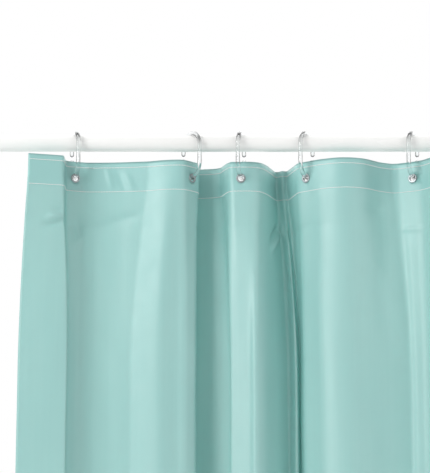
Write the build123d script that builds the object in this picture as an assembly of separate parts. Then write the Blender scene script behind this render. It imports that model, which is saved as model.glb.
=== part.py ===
from build123d import *
import math
import os

# A vinyl shower curtain, 72 by 72 inches, hung by twelve open C-rings on a straight
# rod that is screwed between two walls, and pushed partly together.
# Millimetres. The origin is the centre of the left flange's wall face, on the rod's
# axis. +X runs along the rod to the right wall, +Z is up, and the room is on the -Y
# side. A fold's depth is counted towards the room, so y is minus the depth.

# Rod: a thin steel tube with its ends in the flanges' sockets
ROD_LENGTH = 1524.0
ROD_RADIUS = 10.3
ROD_WALL = 0.9

# Wall flange: a base with a collar on it, and three countersunk wall screw holes
FLANGE_RADIUS = 29.0
FLANGE_BASE = 4.0
FLANGE_EDGE = 2.5
SOCKET_FLOOR = 2.5
SOCKET_GAP = 0.1
COLLAR_RADIUS = 14.3
COLLAR_LENGTH = 22.0
COLLAR_EDGE = 1.5
COLLAR_ROOT = 3.0
WALL_SCREWS = 3
WALL_SCREW_CIRCLE = 21.5
WALL_SCREW_HOLE = 2.25
COUNTERSINK_RADIUS = 4.2
CUT_PAST_FACE = 0.01

# Set screw that pins the rod in its collar
SET_SCREW_RADIUS = 2.0
SET_SCREW_FROM_WALL = 15.0
SET_SCREW_SINK = 0.3
SET_SCREW_SOCKET = 1.8
SET_SCREW_SOCKET_DEPTH = 2.0
SET_SCREW_EDGE = 0.3
HEX_SIDES = 6

# Curtain sheet: two layers thick where its top is turned over into a hem
SHEET_THICKNESS = 1.2
CURTAIN_HEIGHT = 1828.8
CURTAIN_WIDTH = 1828.8
HEM_DEPTH = 39.0
EYELETS = 12
SIDE_MARGIN = 82.0
EYELET_PITCH = (CURTAIN_WIDTH - 2 * SIDE_MARGIN) / (EYELETS - 1)
EYELET_BELOW_EDGE = 21.0

# Ring: round wire bent to an oval in an upright plane, open in its back leg
WIRE_RADIUS = 2.6
RING_HALF_WIDTH = 18.0
RING_HEIGHT = 62.3
RING_ROD_GAP = 0.4
UPPER_TIP_BELOW_TOP = 29.0
LOWER_TIP_BELOW_TOP = 32.6

# Eyelet: a flanged barrel from the room side, and a washer from the back
EYELET_RADIUS = 5.8
EYELET_BORE = 3.7
BARREL_RADIUS = 4.1
PLATE_THICKNESS = 0.7
PLATE_EDGE = 0.3
PLATE_GAP = 0.1
WASHER_GAP = 0.05
HOLE_GAP = 0.2
WIRE_REST_GAP = 0.3

# Where each eyelet hangs along the rod, how the sheet turns there and how its ring is
# turned. An angle is how much the sheet comes towards the room as it goes right.
FIRST_EYELET_X = 170.0
CHORDS = [145.0, 61.6, 81.8, 132.5, 118.0, 96.0, 124.0, 108.0, 121.0, 99.0, 124.0]
SHEET_ANGLES = [-20.0, -46.0, 2.0, 39.0, 30.0, -32.0, 30.0, 34.0, -26.0, -20.0, 34.0, -24.0]
RING_ANGLES = [-17.0, -34.5, 13.0, 27.5, 23.0, -24.0, 23.0, 27.0, -18.0, -13.0, 26.0, -17.0]

# The sheet runs straight through each eyelet, this far to the corner on each side
STRAIGHT_REACH = 12.5
# The share of the shorter run that a rounded corner takes from each of its two runs
SMOOTHING = 0.47

# Corners of the folds between one eyelet and the next, each as the distance to the
# right of the first of the two and the depth towards the room
LEFT_FLAP = [(-58.0, 45.0), (-15.5, 33.0)]
RIGHT_FLAP = [(30.0, -8.0), (48.0, 4.0), (64.0, 18.0)]
FOLDS = [
    [(28.0, -5.0), (50.0, -4.0), (88.0, 5.0), (118.0, 10.5)],
    [(13.0, -22.0), (-14.0, -26.0), (-14.0, -36.0), (20.0, -35.0), (36.0, -29.0),
     (41.0, -14.0)],
    [(26.0, -6.0), (36.0, -26.0), (46.0, -58.0), (57.0, -58.0), (67.0, -24.0)],
    [(20.0, 16.0), (46.0, 22.0), (68.0, 18.0), (92.0, -3.0), (106.0, -9.0)],
    [(26.0, 30.0), (58.0, 43.0), (88.0, 31.0)],
    [(20.0, -27.0), (42.0, -52.0), (66.0, -46.0), (80.0, -20.0)],
    [(24.0, 20.0), (50.0, 25.0), (76.0, -2.0), (94.0, -26.0), (110.0, -20.0)],
    [(22.0, 28.0), (50.0, 46.0), (78.0, 38.0), (92.0, 16.0)],
    [(26.0, -20.0), (50.0, -26.0), (72.0, -2.0), (90.0, 20.0), (106.0, 14.0)],
    [(22.0, -22.0), (44.0, -48.0), (66.0, -47.0), (84.0, -24.0)],
    [(24.0, 25.0), (56.0, 40.0), (88.0, 36.0), (108.0, 16.0)],
]
# Least and most that a panel's depths are scaled by to hold exactly its fabric
LEAST_SCALE = 0.5
MOST_SCALE = 1.6
HALVINGS = 40

# A round shape stands on its plane instead of being centred on it
ON_PLANE = Align.CENTER, Align.CENTER, Align.MIN

RING_TOP = ROD_RADIUS + RING_ROD_GAP + 2 * WIRE_RADIUS
WIRE_LOW_Z = RING_TOP - RING_HEIGHT + WIRE_RADIUS
EYELET_Z = WIRE_LOW_Z + WIRE_RADIUS + WIRE_REST_GAP - EYELET_BORE
SHEET_TOP = EYELET_Z + EYELET_BELOW_EDGE


def eyelet_xs():
    """Distance of each eyelet from the left wall."""
    xs = [FIRST_EYELET_X]
    for chord in CHORDS:
        xs.append(xs[-1] + chord)
    return xs


def placed(x, corners, scale):
    """Corners beside the eyelet at x, in plan, with their depths scaled."""
    return [(x + right, -depth * scale) for right, depth in corners]


def beside(x, angle, side):
    """The corner where the straight run through an eyelet ends, side -1 left or 1 right."""
    reach = side * STRAIGHT_REACH
    slope = math.radians(angle)
    return (x + reach * math.cos(slope), -reach * math.sin(slope))


def headings(points):
    """Heading of each run of a route, in radians."""
    return [math.atan2(b[1] - a[1], b[0] - a[0]) for a, b in zip(points, points[1:])]


def turns(points):
    """Signed turn at each inner corner of a route, in radians, left turns positive."""
    ways = headings(points)
    steps = [after - before for before, after in zip(ways, ways[1:])]
    return [math.atan2(math.sin(step), math.cos(step)) for step in steps]


def corner_radii(points):
    """Radius at each inner corner, as large as the shorter of its two runs allows."""
    runs = [math.dist(a, b) for a, b in zip(points, points[1:])]
    setbacks = [SMOOTHING * min(pair) for pair in zip(runs, runs[1:])]
    return [back / math.tan(abs(turn) / 2) for back, turn in zip(setbacks, turns(points))]


def route_length(points):
    """Length of a route with its corners rounded."""
    runs = sum(math.dist(a, b) for a, b in zip(points, points[1:]))
    cut = 0.0
    for turn, radius in zip(turns(points), corner_radii(points)):
        cut += radius * (2 * math.tan(abs(turn) / 2) - abs(turn))
    return runs - cut


def fitted(make_points, length):
    """The route whose depth scale gives it this length, found by halving."""
    low = LEAST_SCALE
    high = MOST_SCALE
    for _ in range(HALVINGS):
        middle = (low + high) / 2
        if route_length(make_points(middle)) < length:
            low = middle
        else:
            high = middle
    return make_points(low)


def panel(index):
    """Plan of the sheet from one eyelet to the next, both included."""
    x = eyelet_xs()[index]
    next_x = eyelet_xs()[index + 1]
    start = [(x, 0.0), beside(x, SHEET_ANGLES[index], 1)]
    finish = [beside(next_x, SHEET_ANGLES[index + 1], -1), (next_x, 0.0)]
    return fitted(lambda scale: start + placed(x, FOLDS[index], scale) + finish, EYELET_PITCH)


def left_flap():
    """Plan of the sheet from its left edge to the first eyelet."""
    x = FIRST_EYELET_X
    finish = [beside(x, SHEET_ANGLES[0], -1), (x, 0.0)]
    return fitted(lambda scale: placed(x, LEFT_FLAP, scale) + finish, SIDE_MARGIN)


def right_flap():
    """Plan of the sheet from the last eyelet to its right edge."""
    x = eyelet_xs()[-1]
    start = [(x, 0.0), beside(x, SHEET_ANGLES[-1], 1)]
    return fitted(lambda scale: start + placed(x, RIGHT_FLAP, scale), SIDE_MARGIN)


def sheet_route():
    """Corners and radii of the sheet's middle in plan, from its left edge to its right."""
    routes = [left_flap()]
    routes += [panel(index) for index in range(EYELETS - 1)]
    routes.append(right_flap())
    corners = [routes[0][0]]
    radii = []
    for route in routes:
        corners += route[1:-1]
        radii += corner_radii(route)
    corners.append(routes[-1][-1])
    return corners, radii


def offset_route(corners, radii, back):
    """The same route moved sideways, by a positive distance towards the back."""
    ways = headings(corners)
    bends = [0.0] + turns(corners) + [0.0]
    ways_in = [ways[0]] + ways
    moved = []
    for corner, way, bend in zip(corners, ways_in, bends):
        reach = back / math.cos(bend / 2)
        normal = way + bend / 2 + math.pi / 2
        moved.append((corner[0] + reach * math.cos(normal), corner[1] + reach * math.sin(normal)))
    moved_radii = [r - back * math.copysign(1, bend) for r, bend in zip(radii, bends[1:-1])]
    return moved, moved_radii


def layer_face(corners, radii, front, back, z):
    """Flat plan face of sheet between two distances behind the route's middle."""
    sides = []
    for distance in (front, back):
        moved, moved_radii = offset_route(corners, radii, distance)
        sides.append(FilletPolyline(*moved, radius=moved_radii))
    ends = [Line(sides[0] @ place, sides[1] @ place) for place in (0, 1)]
    return Pos(0, 0, z) * make_face(sides[0].edges() + sides[1].edges() + ends)


def eyelet_place(index):
    """Location of an eyelet, with its local Z towards the back of the sheet."""
    x = eyelet_xs()[index]
    return Pos(x, 0, EYELET_Z) * Rot(0, 0, -SHEET_ANGLES[index]) * Rot(-90, 0, 0)


def curtain_sheet():
    """The whole sheet: a double layer down to the hem's stitching, then a single one."""
    corners, radii = sheet_route()
    hem_low = SHEET_TOP - HEM_DEPTH
    double = layer_face(corners, radii, -SHEET_THICKNESS, SHEET_THICKNESS, SHEET_TOP)
    single = layer_face(corners, radii, -SHEET_THICKNESS, 0.0, hem_low)
    sheet = extrude(double, amount=-HEM_DEPTH, dir=(0, 0, 1))
    sheet += extrude(single, amount=HEM_DEPTH - CURTAIN_HEIGHT, dir=(0, 0, 1))
    for index in range(EYELETS):
        sheet -= eyelet_place(index) * Cylinder(BARREL_RADIUS + HOLE_GAP, 6 * SHEET_THICKNESS)
    return sheet


def ring():
    """One open ring over the rod's axis at x = 0, with its gap in the back leg."""
    over_z = RING_TOP - WIRE_RADIUS - RING_HALF_WIDTH
    under_z = WIRE_LOW_Z + RING_HALF_WIDTH
    upper_end = (RING_HALF_WIDTH, RING_TOP - UPPER_TIP_BELOW_TOP + WIRE_RADIUS)
    lower_end = (RING_HALF_WIDTH, RING_TOP - LOWER_TIP_BELOW_TOP - WIRE_RADIUS)
    back_shoulder = (RING_HALF_WIDTH, over_z)
    front_shoulder = (-RING_HALF_WIDTH, over_z)
    front_hip = (-RING_HALF_WIDTH, under_z)
    back_hip = (RING_HALF_WIDTH, under_z)
    middle = Line(upper_end, back_shoulder)
    middle += ThreePointArc(back_shoulder, (0, over_z + RING_HALF_WIDTH), front_shoulder)
    middle += Line(front_shoulder, front_hip)
    middle += ThreePointArc(front_hip, (0, WIRE_LOW_Z), back_hip)
    middle += Line(back_hip, lower_end)
    start = Plane(origin=(*upper_end, 0), z_dir=(0, 1, 0))
    wire = sweep(start * Circle(WIRE_RADIUS), path=middle)
    for end in (upper_end, lower_end):
        wire += Pos(*end, 0) * Sphere(WIRE_RADIUS)
    return Rot(0, 0, 90) * Rot(90, 0, 0) * wire


def ring_place(index):
    """Location of a ring on the rod, turned about the upright axis."""
    return Pos(eyelet_xs()[index], 0, 0) * Rot(0, 0, -RING_ANGLES[index])


def round_plate(radius, low):
    """A thin round plate from this height up, with softened rims."""
    plate = Pos(0, 0, low + PLATE_THICKNESS / 2) * Cylinder(radius, PLATE_THICKNESS)
    return fillet(plate.edges().filter_by(GeomType.CIRCLE), PLATE_EDGE)


def eyelet():
    """Room-side flange and the barrel through the sheet, local Z towards the back."""
    face = SHEET_THICKNESS + PLATE_GAP
    flange = round_plate(EYELET_RADIUS, -face - PLATE_THICKNESS)
    length = 2 * face + PLATE_THICKNESS
    barrel = Pos(0, 0, -face + length / 2) * Cylinder(BARREL_RADIUS, length)
    bore = Cylinder(EYELET_BORE, 4 * length)
    return flange + barrel - bore


def eyelet_washer():
    """The washer that the barrel passes through at the back."""
    washer = round_plate(EYELET_RADIUS, SHEET_THICKNESS + PLATE_GAP)
    return washer - Cylinder(BARREL_RADIUS + WASHER_GAP, 8 * SHEET_THICKNESS)


def rod_tube():
    """The rod, as long as the distance between the two sockets' floors."""
    length = ROD_LENGTH - 2 * SOCKET_FLOOR
    tube = Cylinder(ROD_RADIUS, length) - Cylinder(ROD_RADIUS - ROD_WALL, length)
    return Pos(ROD_LENGTH / 2, 0, 0) * Rot(0, 90, 0) * tube


def flange():
    """A wall flange with its wall face at z = 0 and its collar along +Z."""
    base = Cylinder(FLANGE_RADIUS, FLANGE_BASE, align=ON_PLANE)
    base = fillet(base.edges().group_by(Axis.Z)[-1], FLANGE_EDGE)
    collar = Cylinder(COLLAR_RADIUS, COLLAR_LENGTH, align=ON_PLANE)
    collar = fillet(collar.edges().group_by(Axis.Z)[-1], COLLAR_EDGE)
    body = base + collar
    roots = body.edges().filter_by(GeomType.CIRCLE).filter_by(
        lambda edge: abs(edge.radius - COLLAR_RADIUS) < CUT_PAST_FACE
        and abs(edge.center().Z - FLANGE_BASE) < CUT_PAST_FACE)
    body = fillet(roots, COLLAR_ROOT)
    socket = Cylinder(ROD_RADIUS + SOCKET_GAP, COLLAR_LENGTH, align=ON_PLANE)
    body -= Pos(0, 0, SOCKET_FLOOR) * socket
    for place in PolarLocations(WALL_SCREW_CIRCLE, WALL_SCREWS, start_angle=90):
        body -= place * Cylinder(WALL_SCREW_HOLE, FLANGE_BASE * 2)
        sink = Cone(0, COUNTERSINK_RADIUS, COUNTERSINK_RADIUS, align=ON_PLANE)
        body -= place * Pos(0, 0, FLANGE_BASE - COUNTERSINK_RADIUS + CUT_PAST_FACE) * sink
    return body - set_screw_place() * Cylinder(SET_SCREW_RADIUS, COLLAR_LENGTH, align=ON_PLANE)


def set_screw_place():
    """The set screw's axis in a flange's own frame, from the rod's axis outwards."""
    return Pos(0, 0, SET_SCREW_FROM_WALL) * Rot(90, 0, 0)


def set_screw():
    """A headless screw from the rod's surface to just below the collar's."""
    length = COLLAR_RADIUS - SET_SCREW_SINK - ROD_RADIUS
    body = Cylinder(SET_SCREW_RADIUS, length, align=ON_PLANE)
    body = chamfer(body.edges().group_by(Axis.Z)[-1], SET_SCREW_EDGE)
    hexagon = RegularPolygon(SET_SCREW_SOCKET / 2, HEX_SIDES)
    socket = extrude(hexagon, amount=SET_SCREW_SOCKET_DEPTH)
    body -= Pos(0, 0, length - SET_SCREW_SOCKET_DEPTH) * socket
    return set_screw_place() * Pos(0, 0, ROD_RADIUS) * body


def save(shape, node):
    """Write one sub-part under its node's name."""
    export_step(shape, "parts/" + node + ".step")


os.makedirs("parts", exist_ok=True)
LEFT_WALL = Rot(0, 90, 0)
RIGHT_WALL = Pos(ROD_LENGTH, 0, 0) * Rot(0, -90, 0)
save(rod_tube(), "rod_tube")
save(curtain_sheet(), "curtain_sheet")
for side, wall in (("left", LEFT_WALL), ("right", RIGHT_WALL)):
    save(wall * flange(), "flange_" + side)
    save(wall * set_screw(), "set_screw_" + side)
for number in range(EYELETS):
    label = "%02d" % (number + 1)
    save(ring_place(number) * ring(), "ring_" + label)
    save(eyelet_place(number) * eyelet(), "eyelet_" + label)
    save(eyelet_place(number) * eyelet_washer(), "eyelet_washer_" + label)
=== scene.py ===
import math

import bpy
import numpy as np
from mathutils import Matrix, Vector, noise


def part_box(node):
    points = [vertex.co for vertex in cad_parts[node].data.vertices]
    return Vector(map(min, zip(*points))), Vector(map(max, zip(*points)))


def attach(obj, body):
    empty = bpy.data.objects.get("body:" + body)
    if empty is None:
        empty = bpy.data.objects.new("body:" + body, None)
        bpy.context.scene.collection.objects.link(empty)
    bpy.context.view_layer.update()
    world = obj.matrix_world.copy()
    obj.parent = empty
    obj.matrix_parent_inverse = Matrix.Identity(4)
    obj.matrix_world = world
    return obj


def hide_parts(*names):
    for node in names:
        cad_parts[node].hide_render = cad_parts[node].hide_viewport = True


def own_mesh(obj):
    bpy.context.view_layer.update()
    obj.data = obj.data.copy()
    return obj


# The looks of the shower curtain: its vinyl sheet with hems, folds and creases, the hem's
# stitching, the eyelets, and the materials of the rings, rod and flanges. Metres, in the
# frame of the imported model: +X along the rod, +Z up, the room on the -Y side. A fold's
# depth is counted towards the room, so y is minus the depth.

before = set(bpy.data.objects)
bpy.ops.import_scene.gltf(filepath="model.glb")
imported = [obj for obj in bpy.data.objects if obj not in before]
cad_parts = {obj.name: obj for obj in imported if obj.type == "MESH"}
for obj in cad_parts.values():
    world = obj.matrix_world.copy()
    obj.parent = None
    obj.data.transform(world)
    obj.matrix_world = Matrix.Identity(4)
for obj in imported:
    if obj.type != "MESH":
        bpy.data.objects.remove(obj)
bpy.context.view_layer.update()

# ---------------------------------------------------------------- sizes and places

EYELETS = 12
LABELS = ["%02d" % (number + 1) for number in range(EYELETS)]
FABRIC_WIDTH = 1.8288
MARGIN = 0.082
PITCH = (FABRIC_WIDTH - 2 * MARGIN) / (EYELETS - 1)
HEIGHT = 1.8288
HEM_DEPTH = 0.039
FOOT_HEM_DEPTH = 0.026
EYELET_DOWN = 0.021
SHEET_THICKNESS = 0.00035
HEM_GAP = 0.0009

# How the sheet turns at each eyelet, as the angle it comes towards the room going right
EYELET_ANGLES = [-20, -46, 2, 39, 30, -32, 30, 34, -26, -20, 34, -24]

# Each level of the sheet has, for each eyelet's line down the sheet, its shift to the
# right, its depth and its angle, and for each panel the corners of its folds, counted
# from the first eyelet of the panel as right, depth and, where a fold is crisp, the share
# of the shorter run that its rounding takes.
SMOOTH = 0.47
CRISP = 0.08
TOP_REACH = 0.0125
LOWER_REACH = 0.008

TOP_LINES = [(0.0, 0.0, angle) for angle in EYELET_ANGLES]
TOP_LEFT = [(-0.0545, 0.045), (-0.0125, 0.033, CRISP)]
TOP_RIGHT = [(0.030, -0.008), (0.048, 0.004), (0.064, 0.018)]
TOP_FOLDS = [
    [(0.026, -0.005), (0.052, -0.004), (0.092, 0.002, CRISP), (0.106, 0.008),
     (0.118, 0.011), (0.129, 0.012)],
    [(0.0075, -0.020), (-0.014, -0.026), (-0.014, -0.036), (0.010, -0.036),
     (0.028, -0.033), (0.036, -0.029), (0.041, -0.014), (0.045, -0.006)],
    [(0.024, -0.004), (0.032, -0.018), (0.038, -0.036), (0.045, -0.057),
     (0.054, -0.048, CRISP), (0.059, -0.052)],
    [(0.018, 0.013), (0.036, 0.021), (0.052, 0.022), (0.070, 0.017), (0.092, -0.003),
     (0.107, -0.010, CRISP), (0.115, -0.009)],
    [(0.026, 0.030), (0.058, 0.043), (0.088, 0.031)],
    [(0.020, -0.027), (0.042, -0.052), (0.066, -0.046), (0.080, -0.020)],
    [(0.024, 0.020), (0.050, 0.025), (0.076, -0.002), (0.094, -0.026), (0.110, -0.020)],
    [(0.022, 0.028), (0.050, 0.046), (0.078, 0.038), (0.092, 0.016)],
    [(0.026, -0.020), (0.050, -0.026), (0.072, -0.002), (0.090, 0.020), (0.106, 0.014)],
    [(0.022, -0.022), (0.044, -0.048), (0.066, -0.047), (0.084, -0.024)],
    [(0.024, 0.025), (0.056, 0.040), (0.088, 0.036), (0.108, 0.016)],
]

# A quarter of a metre down, where the folds have found their own way
MID_DOWN = 0.26
MID_LINES = [
    (-0.001, 0.005, -40), (-0.0005, -0.001, -32), (0.003, 0.004, 18), (0.002, -0.014, 45),
    (0.006, -0.002, 15), (0.0, 0.0, -40), (0.0, 0.0, 36), (0.0, 0.0, 40), (0.0, 0.0, -34),
    (0.0, 0.0, -28), (0.0, 0.0, 40), (0.0, 0.0, -32)]
MID_LEFT = [(-0.0635, 0.036), (-0.004, 0.030, CRISP)]
MID_FOLDS = [
    [(0.020, -0.010), (0.045, -0.011), (0.071, -0.006, CRISP), (0.092, 0.008),
     (0.106, 0.015), (0.129, 0.004)],
    [(0.001, -0.024), (-0.014, -0.032), (-0.010, -0.044), (0.014, -0.044),
     (0.036, -0.038), (0.050, -0.028), (0.050, -0.012), (0.0455, -0.003)],
    [(0.016, 0.010), (0.029, 0.004), (0.044, -0.016), (0.0595, -0.038),
     (0.0685, -0.024, CRISP), (0.0735, -0.036)],
    [(0.018, 0.006), (0.034, 0.015), (0.052, 0.017), (0.076, 0.009), (0.104, -0.003),
     (0.125, -0.010, CRISP), (0.1285, -0.008)],
] + TOP_FOLDS[4:]

# At the bottom edge, where the folds hang most evenly
FOOT_LINES = [
    (0.002, 0.0, -50), (-0.010, 0.0, -60), (-0.002, 0.0, 5), (0.004, 0.0, 45),
    (0.004, 0.0, 30), (-0.004, 0.0, -40), (0.005, 0.0, 40), (-0.003, 0.0, 40),
    (0.002, 0.0, -35), (-0.004, 0.0, -30), (0.004, 0.0, 42), (0.0, 0.0, -35)]
FOOT_LEFT = [(-0.060, 0.030), (-0.012, 0.033)]
FOOT_FOLDS = [
    [(0.018, -0.014), (0.046, -0.020), (0.070, -0.010), (0.096, 0.008), (0.116, 0.015),
     (0.127, 0.014)],
    [(-0.004, -0.020), (-0.012, -0.030), (-0.006, -0.044), (0.014, -0.048),
     (0.034, -0.044), (0.046, -0.030), (0.048, -0.014), (0.047, -0.004)],
    [(0.016, 0.006), (0.030, -0.008), (0.042, -0.034), (0.054, -0.048), (0.066, -0.042),
     (0.074, -0.026)],
    [(0.020, 0.014), (0.036, 0.023), (0.054, 0.024), (0.074, 0.014), (0.100, -0.006),
     (0.116, -0.013), (0.123, -0.011)],
] + TOP_FOLDS[4:]

# Columns of mesh in the left flap, in each panel and in the right flap
COLUMNS = [32] + [56, 56, 56, 56] + [20] * 7 + [10]
# Heights of the mesh's rows, each down to a distance below the top edge
COARSE_ROW = 0.038
ROW_STEPS = [(0.006, 0.060), (0.003, 0.114), (0.006, MID_DOWN), (COARSE_ROW, 1.7)]

eyelet_x = [sum(c.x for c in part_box("eyelet_" + label)) / 2 for label in LABELS]
eyelet_z = sum(c.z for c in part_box("eyelet_01")) / 2
sheet_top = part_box("curtain_sheet")[1].z


# ---------------------------------------------------------------- plan of the folds

def beside(x, depth, angle, side, reach):
    """The end of the straight run through an eyelet's line, side -1 left or 1 right."""
    slope = math.radians(angle)
    return (x + side * reach * math.cos(slope), depth + side * reach * math.sin(slope))


def rounded(points, shares, steps=8):
    """A route of straight runs with every inner corner rounded by a parabola."""
    route = [np.array(points[0])]
    for index in range(1, len(points) - 1):
        before, here, after = (np.array(points[index + k]) for k in (-1, 0, 1))
        run_in = np.linalg.norm(here - before)
        run_out = np.linalg.norm(after - here)
        back = shares[index] * min(run_in, run_out)
        enter = here + (before - here) * back / run_in
        leave = here + (after - here) * back / run_out
        for step in range(steps + 1):
            t = step / steps
            route.append(enter * (1 - t) ** 2 + here * 2 * t * (1 - t) + leave * t * t)
    route.append(np.array(points[-1]))
    return np.array(route)


def lengths_along(route):
    """Distance of each point of a route from its start."""
    runs = np.linalg.norm(np.diff(route, axis=0), axis=1)
    return np.concatenate([[0.0], np.cumsum(runs)])


# How far a fold's depth may be scaled to hold its fabric, and how finely that is found
SHALLOWEST = 0.2
DEEPEST = 2.2
HALVINGS = 14


def route_of(start, corners, finish, x, scale):
    """A stretch's rounded route, with the depths of its free corners scaled."""
    free = [(x + corner[0], corner[1] * scale) for corner in corners]
    shares = [corner[2] if len(corner) > 2 else SMOOTH for corner in corners]
    ends = [SMOOTH] * len(start), [SMOOTH] * len(finish)
    return rounded(start + free + finish, ends[0] + shares + ends[1])


def fitting_scale(stretch):
    """The depth scale that makes a stretch's route hold its fabric, found by halving."""
    start, corners, finish, x, fabric = stretch
    low, high = SHALLOWEST, DEEPEST
    for _ in range(HALVINGS):
        scale = (low + high) / 2
        if lengths_along(route_of(start, corners, finish, x, scale))[-1] < fabric:
            low = scale
        else:
            high = scale
    return low


def stretches(lines, left, folds, right, reach):
    """Start, free corners, finish, origin and fabric of each stretch of the sheet."""
    places = [(x + line[0], line[1], line[2]) for x, line in zip(eyelet_x, lines)]
    first = places[0]
    made = [([], left, [beside(*first, -1, reach), first[:2]], eyelet_x[0], MARGIN)]
    for index in range(EYELETS - 1):
        here = places[index]
        there = places[index + 1]
        start = [here[:2], beside(*here, 1, reach)]
        finish = [beside(*there, -1, reach), there[:2]]
        made.append((start, folds[index], finish, eyelet_x[index], PITCH))
    last = places[-1]
    made.append(([last[:2], beside(*last, 1, reach)], right, [], eyelet_x[-1], MARGIN))
    return made


def spaced(route, columns):
    """Evenly spaced points along a route."""
    along = lengths_along(route)
    wanted = np.linspace(0.0, along[-1], columns + 1)
    return np.stack([np.interp(wanted, along, route[:, k]) for k in (0, 1)], axis=1)


def between(low, high, share):
    """Two lists of equal lists of numbers, blended. A corner with no share is smooth."""
    def full(corner):
        return np.array(tuple(corner) + (SMOOTH,) * (3 - len(corner)))
    return [tuple(full(a) * (1 - share) + full(b) * share) for a, b in zip(low, high)]


def fabric_columns():
    """Distance of each column from the sheet's left edge, along the fabric."""
    widths = [MARGIN] + [PITCH] * (EYELETS - 1) + [MARGIN]
    steps = [width / count for width, count in zip(widths, COLUMNS) for _ in range(count)]
    return np.concatenate([[0.0], np.cumsum(steps)])


def smooth_step(t):
    """0 up to 0, 1 from 1, and an easy slope between."""
    t = np.clip(t, 0.0, 1.0)
    return t * t * (3 - 2 * t)


# The hem holds the top level's folds down to here, and they change fastest just below
LEAVE_DOWN = 0.6 * HEM_DEPTH
LEAVE_POWER = 1.7

TOP = (TOP_LINES, TOP_LEFT, TOP_FOLDS, TOP_RIGHT, TOP_REACH)
MID = (MID_LINES, MID_LEFT, MID_FOLDS, TOP_RIGHT, LOWER_REACH)
FOOT = (FOOT_LINES, FOOT_LEFT, FOOT_FOLDS, TOP_RIGHT, LOWER_REACH)
fabric = fabric_columns()
EYELET_COLUMNS = [int(np.argmin(abs(fabric - MARGIN - PITCH * k))) for k in range(EYELETS)]


def plan_at(down):
    """Plan points of the sheet this far below its top edge, as x and depth. Each row's
    folds are as deep as its fabric needs."""
    if down <= MID_DOWN:
        t = min(max((down - LEAVE_DOWN) / (MID_DOWN - LEAVE_DOWN), 0.0), 1.0)
        a, b, share = TOP, MID, 1 - (1 - t) ** LEAVE_POWER
    else:
        a, b, share = MID, FOOT, float(smooth_step((down - MID_DOWN) / (HEIGHT - MID_DOWN)))
    level = (
        between(a[0], b[0], share), between(a[1], b[1], share),
        [between(one, two, share) for one, two in zip(a[2], b[2])],
        between(a[3], b[3], share), a[4] * (1 - share) + b[4] * share)
    parts = []
    for index, stretch in enumerate(stretches(*level)):
        route = route_of(*stretch[:4], fitting_scale(stretch))
        part = spaced(route, COLUMNS[index])
        parts.append(part if index == 0 else part[1:])
    return np.concatenate(parts)


# ---------------------------------------------------------------- creases and wrinkles

# Short wrinkles as the first eyelet to their left, their two ends counted from it to the
# right along the fabric and down from the top edge, their half width and their height
WRINKLES = [
    (1, (0.014, 0.008), (0.016, 0.034), 0.0030, 0.0010),
    (1, (0.039, 0.007), (0.047, 0.032), 0.0028, 0.0016),
    (1, (0.051, 0.010), (0.063, 0.034), 0.0028, -0.0015),
    (1, (0.063, 0.014), (0.074, 0.035), 0.0028, 0.0014),
    (0, (0.028, 0.078), (0.046, 0.075), 0.0026, 0.0040),
    (0, (0.022, 0.088), (0.046, 0.083), 0.0028, -0.0034),
    (0, (0.034, 0.067), (0.048, 0.070), 0.0026, -0.0018),
    (1, (0.004, 0.070), (0.012, 0.104), 0.0050, -0.0022),
    (1, (0.016, 0.092), (0.000, 0.106), 0.0045, 0.0020),
    (1, (0.036, 0.078), (0.082, 0.068), 0.0060, -0.0016),
    (3, (0.050, 0.108), (0.082, 0.078), 0.0034, 0.0052),
    (3, (0.048, 0.098), (0.080, 0.070), 0.0034, -0.0050),
    (3, (0.082, 0.062), (0.086, 0.088), 0.0030, 0.0036),
    (4, (0.080, 0.064), (0.112, 0.062), 0.0060, -0.0018),
    (4, (0.118, 0.082), (0.170, 0.086), 0.0030, 0.0016),
    (4, (0.070, 0.120), (0.104, 0.136), 0.0060, 0.0014),
    (2, (0.100, 0.096), (0.140, 0.078), 0.0050, 0.0012),
]

# Creases left by the sheet's packing: level lines across it and plumb lines down it, with
# the height and width of each kind
PACK_DOWN = 0.082
PACK_PITCH = 0.228
PACK_ACROSS = 0.305
LEVEL_CREASES = 8
LEVEL_HEIGHT = 0.0020
LEVEL_WIDTH = 0.009
PLUMB_CREASES = 5
PLUMB_HEIGHT = 0.0008
PLUMB_WIDTH = 0.008

# Heights of the wrinkles that hang from the eyelets and of the film's slow waves
PULL_HEIGHT = 0.0009
PULL_REACH = 0.035
WAVE_HEIGHT = 0.0016
RIPPLE_HEIGHT = 0.0006


def along_wrinkle(u, s, wrinkle):
    """Height of one short wrinkle at a place on the fabric, tapered to its two ends."""
    number, first, last, width, height = wrinkle
    edge = MARGIN + PITCH * (number - 1) if number else 0.0
    ax, ay = edge + first[0], first[1]
    bx, by = edge + last[0], last[1]
    length = math.hypot(bx - ax, by - ay)
    t = ((u - ax) * (bx - ax) + (s - ay) * (by - ay)) / length ** 2
    near = np.clip(t, 0.0, 1.0)
    off = np.hypot(u - ax - near * (bx - ax), s - ay - near * (by - ay))
    taper = 0.35 + 0.65 * np.sin(np.pi * near)
    return height * taper * np.exp(-(off / width) ** 2)


def fold_memory(u, s):
    """Shallow creases of the packing folds, which fade in and out along their length."""
    out = np.zeros_like(u)
    for k in range(LEVEL_CREASES):
        line = PACK_DOWN + PACK_PITCH * k
        fade = 0.55 + 0.45 * np.sin(u * 23.0 + 1.7 * k) * np.sin(u * 7.3 + 0.6)
        out -= LEVEL_HEIGHT * fade * np.exp(-abs(s - line) / LEVEL_WIDTH)
    for k in range(PLUMB_CREASES):
        line = PACK_ACROSS * (k + 0.72)
        fade = 0.6 + 0.4 * np.sin(s * 9.0 + 2.1 * k)
        out += PLUMB_HEIGHT * fade * np.exp(-abs(u - line) / PLUMB_WIDTH)
    return out


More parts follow.
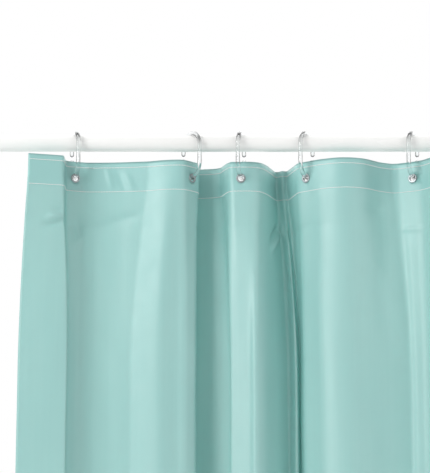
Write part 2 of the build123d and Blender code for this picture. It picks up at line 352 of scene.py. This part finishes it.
def eyelet_pull(u, s):
    """Fan of soft wrinkles that the sheet's weight draws below each eyelet."""
    out = np.zeros_like(u)
    for k in range(EYELETS):
        du = u - MARGIN - PITCH * k
        ds = s - EYELET_DOWN
        r = np.hypot(du, ds)
        angle = np.arctan2(du, np.maximum(ds, 1e-6))
        below = smooth_step((ds + 0.004) / 0.03)
        fan = np.cos(5 * angle + 0.7 * k) * np.exp(-r / PULL_REACH) * r / (r + 0.01)
        out += PULL_HEIGHT * below * fan
    return out


def loose_film(u, s):
    """Slow irregular waves of a limp film, longer down the sheet than across it."""
    out = np.zeros_like(u)
    for index in np.ndindex(u.shape):
        a, b = float(u[index]), float(s[index])
        out[index] = (WAVE_HEIGHT * noise.noise(Vector((a * 16, b * 5, 0.3)))
                      + RIPPLE_HEIGHT * noise.noise(Vector((a * 46, b * 15, 7.1))))
    return out * smooth_step((s - 0.01) / 0.12)


def away_from_eyelets(u, s):
    """0 under an eyelet's flange and 1 well outside it."""
    keep = np.ones_like(u)
    for k in range(EYELETS):
        r = np.hypot(u - MARGIN - PITCH * k, s - EYELET_DOWN)
        keep = keep * smooth_step((r - 0.007) / 0.010)
    return keep


def relief(u, s):
    """How far the film stands off its plain folds at each place on the fabric."""
    out = fold_memory(u, s) + eyelet_pull(u, s) + loose_film(u, s)
    for wrinkle in WRINKLES:
        out += along_wrinkle(u, s, wrinkle)
    return out * away_from_eyelets(u, s)


# ---------------------------------------------------------------- the sheet's mesh

HEM_ROWS = [0.0, 0.0034, 0.0068, 0.0114, 0.0162, EYELET_DOWN, 0.0258, 0.0306, 0.0342, 0.0374]
STITCH_ROWS = [HEM_ROWS[2], HEM_ROWS[9]]


def main_rows():
    """Distances of the front's rows below the top edge, close together at the top."""
    rows = HEM_ROWS + [HEM_DEPTH, HEM_DEPTH + 0.003]
    for step, down in ROW_STEPS + [(COARSE_ROW, HEIGHT - FOOT_HEM_DEPTH)]:
        room = down - rows[-1]
        count = math.ceil(room / step)
        rows += list(np.linspace(rows[-1], down, count + 1)[1:])
    return rows + [HEIGHT - FOOT_HEM_DEPTH * share for share in (0.5, 0.1, 0.0)]


ROWS = main_rows()


def grid(rows):
    """Points of the front layer and its level normals towards the room, row by row."""
    u, s = np.meshgrid(fabric, np.array(rows))
    heights = relief(u, s)
    points = np.zeros(u.shape + (3,))
    normals = np.zeros(u.shape + (3,))
    for r, down in enumerate(rows):
        plan = plan_at(down)
        tangent = np.gradient(plan, axis=0)
        tangent /= np.linalg.norm(tangent, axis=1)[:, None]
        normals[r, :, 0] = -tangent[:, 1]
        normals[r, :, 1] = -tangent[:, 0]
        points[r, :, 0] = plan[:, 0]
        points[r, :, 1] = -plan[:, 1]
        points[r, :, 2] = sheet_top - down
    points += normals * heights[:, :, None]
    return points, normals


def hem_gap(down, depth):
    """Gap between the two layers of a hem, which closes at its fold and its stitching."""
    inside = min(down / 0.003, 1.0) ** 0.5
    stitched = min(abs(down - row) for row in STITCH_ROWS) if depth == HEM_DEPTH else 1.0
    return HEM_GAP * inside * (0.7 + 0.5 * min(stitched / 0.008, 1.0))


def front_offset(down):
    """How far the front layer stands before the middle of the hem."""
    return HEM_GAP / 2 * (1 - smooth_step((down - HEM_DEPTH) / 0.03))


points, normals = grid(ROWS)
for r, down in enumerate(ROWS):
    points[r] += normals[r] * front_offset(down)
hem_rows = [r for r, down in enumerate(ROWS) if 0 < down <= HEM_DEPTH]
foot_rows = list(range(len(ROWS) - 4, len(ROWS) - 1))


def layered():
    """All rows of the sheet: up the back of the top hem, down the front, up the foot hem."""
    back = [points[r] - normals[r] * hem_gap(ROWS[r], HEM_DEPTH) for r in reversed(hem_rows)]
    foot = [points[r] - normals[r] * hem_gap(HEIGHT - ROWS[r], FOOT_HEM_DEPTH)
            for r in reversed(foot_rows)]
    return np.array(back + list(points) + foot)


HOLE_RADIUS = 0.0047


def pierce(rows, row):
    """Move the mesh round each eyelet onto a circle and say which vertices to drop."""
    dropped = []
    for column in EYELET_COLUMNS:
        centre = rows[row, column].copy()
        for dr in (-1, 0, 1):
            for dc in (-1, 0, 1):
                if dr or dc:
                    step = rows[row + dr, column + dc] - centre
                    rows[row + dr, column + dc] = centre + step * HOLE_RADIUS / np.linalg.norm(step)
        dropped.append((row, column))
    return dropped


def add_object(name, vertices, faces, material, smooth=True):
    """A mesh object in the row frame with one material."""
    mesh = bpy.data.meshes.new(name)
    mesh.from_pydata([tuple(v) for v in vertices], [], faces)
    mesh.materials.append(material)
    mesh.polygons.foreach_set("use_smooth", [smooth] * len(mesh.polygons))
    mesh.update()
    made = bpy.data.objects.new(name, mesh)
    bpy.context.scene.collection.objects.link(made)
    return made


def apply_modifiers(made):
    """Make a piece's modifiers part of its mesh."""
    graph = bpy.context.evaluated_depsgraph_get()
    mesh = bpy.data.meshes.new_from_object(made.evaluated_get(graph))
    made.modifiers.clear()
    made.data = mesh


def on_curtain(piece):
    """A soft piece is attached to the curtain's body, so it swings with the curtain, and gets a mesh
    of its own.
    """
    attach(piece, "curtain")
    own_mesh(piece)


def make_sheet(material):
    """The curtain's sheet as one mesh, with its hems, eyelet holes and thickness."""
    rows = layered()
    eyelet_row = ROWS.index(EYELET_DOWN)
    dropped = pierce(rows, len(hem_rows) + eyelet_row)
    dropped += pierce(rows, len(hem_rows) - eyelet_row)
    count = rows.shape[1]
    gone = {row * count + column for row, column in dropped}
    faces = []
    for r in range(len(rows) - 1):
        for c in range(count - 1):
            corners = (r * count + c, (r + 1) * count + c, (r + 1) * count + c + 1, r * count + c + 1)
            if not gone.intersection(corners):
                faces.append(corners)
    kept = [index for index in range(len(rows) * count) if index not in gone]
    renumbered = {old: new for new, old in enumerate(kept)}
    flat_rows = rows.reshape(-1, 3)
    faces = [tuple(renumbered[index] for index in corners) for corners in faces]
    sheet = add_object("vinyl_sheet", flat_rows[kept], faces, material)
    solid = sheet.modifiers.new("thickness", "SOLIDIFY")
    solid.thickness = SHEET_THICKNESS
    solid.offset = 0.0
    apply_modifiers(sheet)
    return sheet


# ---------------------------------------------------------------- stitching

STITCH_PITCH = 0.0034
STITCH_LENGTH = 0.0030
THREAD_RADIUS = 0.00052
STITCH_SIDES = 6


def capsule(start, end, radius):
    """Vertices and faces of one round-ended stitch between two points."""
    middle_line = end - start
    length = np.linalg.norm(middle_line)
    along = middle_line / length
    side = np.cross(along, (0.0, 0.0, 1.0))
    side /= np.linalg.norm(side)
    up = np.cross(side, along)
    stations = [(0.0, 0.25), (0.08, 0.8), (0.3, 1.0), (0.7, 1.0), (0.92, 0.8), (1.0, 0.25)]
    vertices = []
    for share, size in stations:
        for k in range(STITCH_SIDES):
            turn = 2 * math.pi * k / STITCH_SIDES
            round_by = side * math.cos(turn) + up * math.sin(turn)
            vertices.append(start + middle_line * share + round_by * radius * size)
    faces = [tuple(range(STITCH_SIDES))[::-1]]
    for ring in range(len(stations) - 1):
        low = ring * STITCH_SIDES
        for k in range(STITCH_SIDES):
            k2 = (k + 1) % STITCH_SIDES
            faces.append((low + k, low + k2, low + STITCH_SIDES + k2, low + STITCH_SIDES + k))
    last = (len(stations) - 1) * STITCH_SIDES
    faces.append(tuple(range(last, last + STITCH_SIDES)))
    return vertices, faces


def make_stitching(name, row, material):
    """One row of stitches, showing on the hem's front and on its back."""
    front = points[row] + normals[row] * SHEET_THICKNESS
    gap = hem_gap(ROWS[row], HEM_DEPTH)
    back = points[row] - normals[row] * (gap + SHEET_THICKNESS)
    vertices = []
    faces = []
    count = int(FABRIC_WIDTH / STITCH_PITCH) - 1
    for line in (front, back):
        for k in range(count):
            centre = STITCH_PITCH * (k + 1)
            ends = []
            for u in (centre - STITCH_LENGTH / 2, centre + STITCH_LENGTH / 2):
                ends.append(np.array([np.interp(u, fabric, line[:, axis]) for axis in range(3)]))
            made, sides = capsule(ends[0], ends[1], THREAD_RADIUS)
            faces += [tuple(index + len(vertices) for index in face) for face in sides]
            vertices += made
    return add_object(name, vertices, faces, material)


# ---------------------------------------------------------------- eyelets

TURN_STEPS = 40


def turned(profile):
    """Vertices and faces of a closed profile of (radius, height) turned about Z."""
    vertices = []
    for k in range(TURN_STEPS):
        turn = 2 * math.pi * k / TURN_STEPS
        vertices += [(r * math.cos(turn), r * math.sin(turn), z) for r, z in profile]
    count = len(profile)
    faces = []
    for k in range(TURN_STEPS):
        k2 = (k + 1) % TURN_STEPS
        for j in range(count):
            j2 = (j + 1) % count
            faces.append((k * count + j, k2 * count + j, k2 * count + j2, k * count + j2))
    return vertices, faces


def arc(centre, radius, first, last, steps):
    """Points of an arc in a profile, with angles in degrees."""
    turns = [math.radians(first + (last - first) * k / steps) for k in range(steps + 1)]
    return [(centre[0] + radius * math.cos(t), centre[1] + radius * math.sin(t)) for t in turns]


# The two halves of an eyelet: bore, wall, outer radius, and how far its plates stand off
BORE = 0.0037
BARREL_WALL = 0.0004
FLANGE_OUT = 0.0058
PLATE_FACE = 0.0008
ROLL = 0.00045


def eyelet_profile():
    """Front half: a rolled rim, a dished face and the barrel with its flared back lip."""
    rim = arc((FLANGE_OUT - ROLL, -PLATE_FACE - ROLL), ROLL, 90, -90, 6)
    mouth = arc((BORE + 0.0006, -PLATE_FACE - 0.0004), 0.0006, 250, 180, 4)
    lip = arc((BORE + 0.0010, PLATE_FACE + 0.0005), 0.0010, 180, 70, 5)
    under = arc((BORE + 0.0010, PLATE_FACE + 0.0005), 0.0006, 70, 180, 5)
    inner = [(BORE + BARREL_WALL, -PLATE_FACE)]
    return rim + mouth + lip + under + inner


def washer_profile():
    """Back half: a thin dished ring round the barrel."""
    rim = arc((FLANGE_OUT - 0.0003, PLATE_FACE + 0.0003), 0.0003, -90, 90, 5)
    return rim + [(BORE + 0.0013, PLATE_FACE + 0.0005), (BORE + BARREL_WALL + 0.0001, PLATE_FACE)]


def place_eyelet(index):
    """Matrix of an eyelet whose own Z points to the back of the sheet."""
    turn = Matrix.Rotation(-math.radians(EYELET_ANGLES[index]), 4, "Z")
    lie = Matrix.Rotation(-math.pi / 2, 4, "X")
    return Matrix.Translation((eyelet_x[index], 0.0, eyelet_z)) @ turn @ lie


def make_eyelets(material):
    for name, profile, node in (("eyelet_front_", eyelet_profile(), "eyelet_"),
                                ("eyelet_back_", washer_profile(), "eyelet_washer_")):
        vertices, faces = turned(profile)
        for index, label in enumerate(LABELS):
            placed = [place_eyelet(index) @ Vector(v) for v in vertices]
            piece = add_object(name + label, placed, faces, material)
            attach(piece, "ring_" + label)
            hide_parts(node + label)


# ---------------------------------------------------------------- materials

class Nodes:
    """A new material's node tree, with short ways to add nodes and links."""

    def __init__(self, name):
        self.material = bpy.data.materials.new(name)
        self.material.use_nodes = True
        self.tree = self.material.node_tree
        self.shader = self.tree.nodes["Principled BSDF"]
        self.output = self.tree.nodes["Material Output"]
        self.place = self.add("ShaderNodeTexCoord").outputs["Object"]

    def add(self, kind, **settings):
        node = self.tree.nodes.new(kind)
        for key, value in settings.items():
            setattr(node, key, value)
        return node

    def link(self, source, target):
        self.tree.links.new(source, target)

    def stretched(self, scale):
        """Object coordinates scaled apart along the three axes."""
        mapping = self.add("ShaderNodeMapping")
        mapping.inputs["Scale"].default_value = scale
        self.link(self.place, mapping.inputs["Vector"])
        return mapping.outputs["Vector"]

    def noise(self, scale, detail=3.0, stretch=(1, 1, 1), roughness=0.5):
        texture = self.add("ShaderNodeTexNoise")
        texture.inputs["Scale"].default_value = scale
        texture.inputs["Detail"].default_value = detail
        texture.inputs["Roughness"].default_value = roughness
        self.link(self.stretched(stretch), texture.inputs["Vector"])
        return texture.outputs["Fac"]

    def range(self, value, low, high, from_low=0.3, from_high=0.7):
        """A value mapped from its own range to another one."""
        node = self.add("ShaderNodeMapRange")
        node.inputs["From Min"].default_value = from_low
        node.inputs["From Max"].default_value = from_high
        node.inputs["To Min"].default_value = low
        node.inputs["To Max"].default_value = high
        self.link(value, node.inputs["Value"])
        return node.outputs["Result"]

    def blend(self, share, first, second):
        """A colour between two by a share."""
        node = self.add("ShaderNodeMix", data_type="RGBA")
        self.link(share, node.inputs["Factor"])
        for socket, colour in ((node.inputs["A"], first), (node.inputs["B"], second)):
            if isinstance(colour, tuple):
                socket.default_value = colour + (1.0,)
            else:
                self.link(colour, socket)
        return node.outputs["Result"]

    def sum(self, first, second, share):
        """first plus share times second."""
        node = self.add("ShaderNodeMath", operation="MULTIPLY_ADD")
        self.link(second, node.inputs[0])
        node.inputs[1].default_value = share
        self.link(first, node.inputs[2])
        return node.outputs["Value"]

    def bump(self, height, distance, strength=1.0):
        node = self.add("ShaderNodeBump")
        node.inputs["Distance"].default_value = distance
        node.inputs["Strength"].default_value = strength
        self.link(height, node.inputs["Height"])
        self.link(node.outputs["Normal"], self.shader.inputs["Normal"])
        return node.outputs["Normal"]


HEM_FOOT = sheet_top - HEM_DEPTH


def vinyl():
    """Satin aqua film: clouded colour, with fine vertical drawing lines and a little glow. The film
    truly lies double along the top hem; its deeper, more saturated tint there is painted shade,
    standing in for less light shining through two layers."""
    made = Nodes("aqua_vinyl")
    cloud = made.noise(9.0, 4.0, (1, 1, 0.4))
    streak = made.noise(240.0, 2.0, (1, 1, 0.02))
    mixed = made.sum(cloud, streak, 0.25)
    film = made.blend(made.range(mixed, 0.0, 1.0, 0.4, 0.85), (0.405, 0.69, 0.67),
                      (0.45, 0.72, 0.695))
    split = made.add("ShaderNodeSeparateXYZ")
    made.link(made.place, split.inputs["Vector"])
    # Painted shade: above the hem's foot the film gets a deeper, more saturated tint, standing in for
    # less light passing through its two layers
    hem_painted_shade = made.range(split.outputs["Z"], 0.0, 1.0, HEM_FOOT - 0.0006, HEM_FOOT + 0.0006)
    colour = made.blend(hem_painted_shade, film, (0.405, 0.74, 0.715))
    made.link(colour, made.shader.inputs["Base Color"])
    made.link(made.range(made.noise(60.0), 0.42, 0.54), made.shader.inputs["Roughness"])
    made.shader.inputs["IOR"].default_value = 1.6
    made.shader.inputs["Coat Weight"].default_value = 0.9
    made.shader.inputs["Coat Roughness"].default_value = 0.46
    grain = made.noise(900.0, 3.0, (1, 1, 0.35))
    normal = made.bump(made.sum(streak, grain, 0.35), 0.00012, 0.6)
    glow = made.add("ShaderNodeBsdfTranslucent")
    made.link(made.blend(made.range(mixed, 0.0, 1.0, 0.4, 0.85), (0.26, 0.70, 0.65),
                         (0.31, 0.75, 0.70)), glow.inputs["Color"])
    made.link(normal, glow.inputs["Normal"])
    both = made.add("ShaderNodeMixShader")
    both.inputs["Fac"].default_value = 0.27
    made.link(made.shader.outputs["BSDF"], both.inputs[1])
    made.link(glow.outputs["BSDF"], both.inputs[2])
    made.link(both.outputs["Shader"], made.output.inputs["Surface"])
    return made.material


def thread():
    """White polyester thread with a twist."""
    made = Nodes("white_thread")
    twist = made.noise(2600.0, 2.0, (1, 1, 0.6))
    made.link(made.blend(made.range(twist, 0.0, 1.0), (0.74, 0.78, 0.77), (0.92, 0.93, 0.92)),
              made.shader.inputs["Base Color"])
    made.link(made.range(twist, 0.55, 0.75), made.shader.inputs["Roughness"])
    made.bump(twist, 0.00008, 0.6)
    return made.material


def enamel(name, base, worn):
    """White enamel on metal: faint orange peel and duller rubbed patches along the rod."""
    made = Nodes(name)
    rubbed = made.noise(30.0, 4.0, (0.15, 1, 1), 0.6)
    made.link(made.blend(made.range(rubbed, 0.0, 1.0, 0.45, 0.75), base, worn),
              made.shader.inputs["Base Color"])
    made.link(made.range(rubbed, 0.22, 0.38), made.shader.inputs["Roughness"])
    made.bump(made.noise(420.0, 2.0), 0.00006, 0.5)
    return made.material


def clear_plastic():
    """Clear polystyrene with slightly uneven gloss from moulding and handling."""
    made = Nodes("clear_plastic")
    flow = made.noise(120.0, 3.0, (1, 1, 0.3))
    made.link(made.blend(made.range(flow, 0.0, 1.0), (0.93, 0.955, 0.96), (0.97, 0.98, 0.98)),
              made.shader.inputs["Base Color"])
    made.link(made.range(flow, 0.02, 0.10), made.shader.inputs["Roughness"])
    made.shader.inputs["Transmission Weight"].default_value = 1.0
    made.shader.inputs["IOR"].default_value = 1.50
    made.bump(made.noise(260.0, 2.0), 0.00004, 0.5)
    return made.material


def metal(name, dull, bright, rough):
    """Plated metal with fine scratches and handling marks."""
    made = Nodes(name)
    marks = made.noise(900.0, 4.0, (1, 1, 1), 0.65)
    made.link(made.blend(made.range(marks, 0.0, 1.0), dull, bright),
              made.shader.inputs["Base Color"])
    made.shader.inputs["Metallic"].default_value = 1.0
    made.link(made.range(marks, rough, rough + 0.16), made.shader.inputs["Roughness"])
    made.bump(marks, 0.00002, 0.4)
    return made.material


def floor_paint():
    """Plain pale floor with a faint mottle."""
    made = Nodes("pale_floor")
    mottle = made.noise(3.0, 3.0)
    made.link(made.blend(made.range(mottle, 0.0, 1.0), (0.80, 0.80, 0.80), (0.84, 0.84, 0.83)),
              made.shader.inputs["Base Color"])
    made.shader.inputs["Roughness"].default_value = 0.7
    return made.material


def finish_node(node, material):
    """Give a CAD node its material."""
    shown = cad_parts[node]
    shown.data.materials.clear()
    shown.data.materials.append(material)


# ---------------------------------------------------------------- camera and light

VIEW_RIGHT = 0.17375
VIEW_DOWN = 0.1184
VIEW_DISTANCE = 2.4
VIEW_RISE = math.radians(12.0)
VIEW_HEIGHT = 0.5842
SENSOR = 36.0


def make_camera():
    """Camera square to the rod, from below, aimed at the curtain's top left part."""
    target = Vector((eyelet_x[0] + VIEW_RIGHT, 0.0, -VIEW_DOWN))
    towards = Vector((0.0, math.cos(VIEW_RISE), math.sin(VIEW_RISE)))
    data = bpy.data.cameras.new("camera")
    data.sensor_width = SENSOR
    data.lens = SENSOR * VIEW_DISTANCE / VIEW_HEIGHT
    data.clip_end = 50.0
    camera = bpy.data.objects.new("camera", data)
    camera.location = target - towards * VIEW_DISTANCE
    camera.rotation_euler = (math.pi / 2 + VIEW_RISE, 0.0, 0.0)
    bpy.context.scene.collection.objects.link(camera)
    bpy.context.scene.camera = camera
    return target


def area_light(name, place, target, size, power):
    """A square light aimed at the target, with its size in metres and power in watts."""
    data = bpy.data.lights.new(name, "AREA")
    data.shape = "SQUARE"
    data.size = size
    data.energy = power
    light = bpy.data.objects.new(name, data)
    light.location = place
    light.rotation_euler = (target - Vector(place)).to_track_quat("-Z", "Y").to_euler()
    bpy.context.scene.collection.objects.link(light)


def make_world(front, behind, below, above, dark):
    """Bright studio behind the curtain, a dimmer room in front of it and less light from
    below. The camera sees white, and what is seen through clear plastic is the backdrop
    with dark studio round it."""
    world = bpy.data.worlds.new("studio")
    bpy.context.scene.world = world
    world.use_nodes = True
    tree = world.node_tree
    tree.nodes.clear()

    def ramp(value, low, high, to_low, to_high):
        node = tree.nodes.new("ShaderNodeMapRange")
        for name, number in (("From Min", low), ("From Max", high), ("To Min", to_low),
                             ("To Max", to_high)):
            node.inputs[name].default_value = number
        tree.links.new(value, node.inputs["Value"])
        return node.outputs["Result"]

    def choose(flag, no, yes):
        node = tree.nodes.new("ShaderNodeMix")
        tree.links.new(flag, node.inputs["Factor"])
        for socket, value in ((node.inputs["A"], no), (node.inputs["B"], yes)):
            if isinstance(value, float):
                socket.default_value = value
            else:
                tree.links.new(value, socket)
        return node.outputs["Result"]

    way = tree.nodes.new("ShaderNodeSeparateXYZ")
    texture = tree.nodes.new("ShaderNodeTexCoord")
    tree.links.new(texture.outputs["Generated"], way.inputs["Vector"])
    path = tree.nodes.new("ShaderNodeLightPath")
    level = ramp(way.outputs["Y"], -0.2, 0.2, front, behind)
    height = ramp(way.outputs["Z"], -0.6, 0.6, below, above)
    both = tree.nodes.new("ShaderNodeMath")
    both.operation = "MULTIPLY"
    tree.links.new(level, both.inputs[0])
    tree.links.new(height, both.inputs[1])
    room = both.outputs["Value"]
    through = ramp(way.outputs["Y"], 0.62, 0.92, dark, 1.0)
    strength = choose(path.outputs["Is Transmission Ray"], room, through)
    strength = choose(path.outputs["Is Camera Ray"], strength, 1.0)
    background = tree.nodes.new("ShaderNodeBackground")
    tree.links.new(strength, background.inputs["Strength"])
    background.inputs["Color"].default_value = (1.0, 1.0, 1.0, 1.0)
    output = tree.nodes.new("ShaderNodeOutputWorld")
    tree.links.new(background.outputs["Background"], output.inputs["Surface"])


FLOOR_HALF = 3.0
FLOOR_GAP = 0.10


def make_floor():
    """A pale floor a little below the curtain's bottom edge."""
    z = sheet_top - HEIGHT - FLOOR_GAP
    corners = [(x * FLOOR_HALF, y * FLOOR_HALF, z) for x, y in ((-1, -1), (1, -1), (1, 1), (-1, 1))]
    floor = add_object("floor", corners, [(0, 1, 2, 3)], floor_paint())


target = make_camera()
make_world(0.54, 1.50, 0.70, 1.10, 0.04)
area_light("key", (-1.45, -1.75, 0.70), target, 1.3, 40.0)
area_light("fill", (2.0, -1.6, 0.2), target, 1.5, 9.0)
make_floor()
bpy.context.scene.view_settings.view_transform = "Standard"

# ---------------------------------------------------------------- the pieces

sheet = make_sheet(vinyl())
on_curtain(sheet)
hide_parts("curtain_sheet")

white_thread = thread()
for name, down in zip(("hem_stitching_upper", "hem_stitching_lower"), STITCH_ROWS):
    piece = make_stitching(name, ROWS.index(down), white_thread)
    on_curtain(piece)

make_eyelets(metal("eyelet_nickel", (0.32, 0.36, 0.37), (0.46, 0.50, 0.51), 0.36))

ring_plastic = clear_plastic()
for label in LABELS:
    finish_node("ring_" + label, ring_plastic)
finish_node("rod_tube", enamel("rod_enamel", (0.90, 0.90, 0.885), (0.85, 0.85, 0.835)))
flange_enamel = enamel("flange_enamel", (0.88, 0.88, 0.88), (0.80, 0.80, 0.79))
steel = metal("screw_steel", (0.35, 0.35, 0.36), (0.55, 0.55, 0.56), 0.25)
for side in ("left", "right"):
    finish_node("flange_" + side, flange_enamel)
    finish_node("set_screw_" + side, steel)
